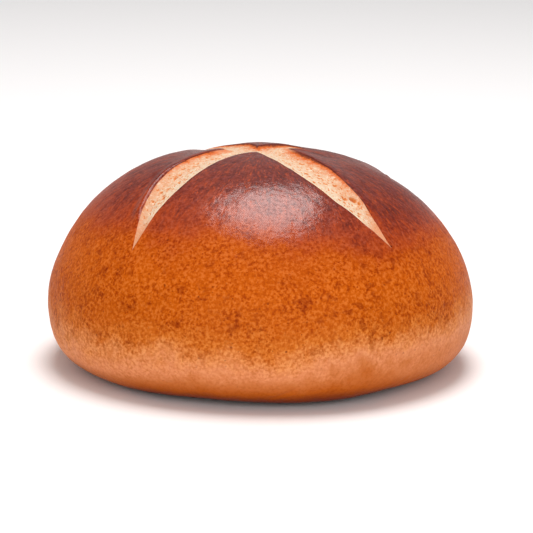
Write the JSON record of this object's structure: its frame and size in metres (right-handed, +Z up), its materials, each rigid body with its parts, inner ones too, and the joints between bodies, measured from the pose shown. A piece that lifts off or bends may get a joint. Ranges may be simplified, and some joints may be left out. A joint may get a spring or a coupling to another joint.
{
  "type": "pretzel roll",
  "caption": "Round pretzel roll with a glossy mahogany crust, a flat base and a cross-shaped score sprung open on top to show the pale crumb.",
  "frame": {"origin": "middle of the flat base, on the surface that the roll rests on", "axes": "+Z up through the top of the dome; -Y towards the front, between two arms of the cross-shaped score"},
  "size_m": [0.105, 0.105, 0.053],
  "materials": {
    "crust": "glossy lye-baked bread crust, dark brown on top and orange-brown below"
  },
  "bodies": {
    "root": {"pretzel_roll": "crust"}
  },
  "joints": []
}
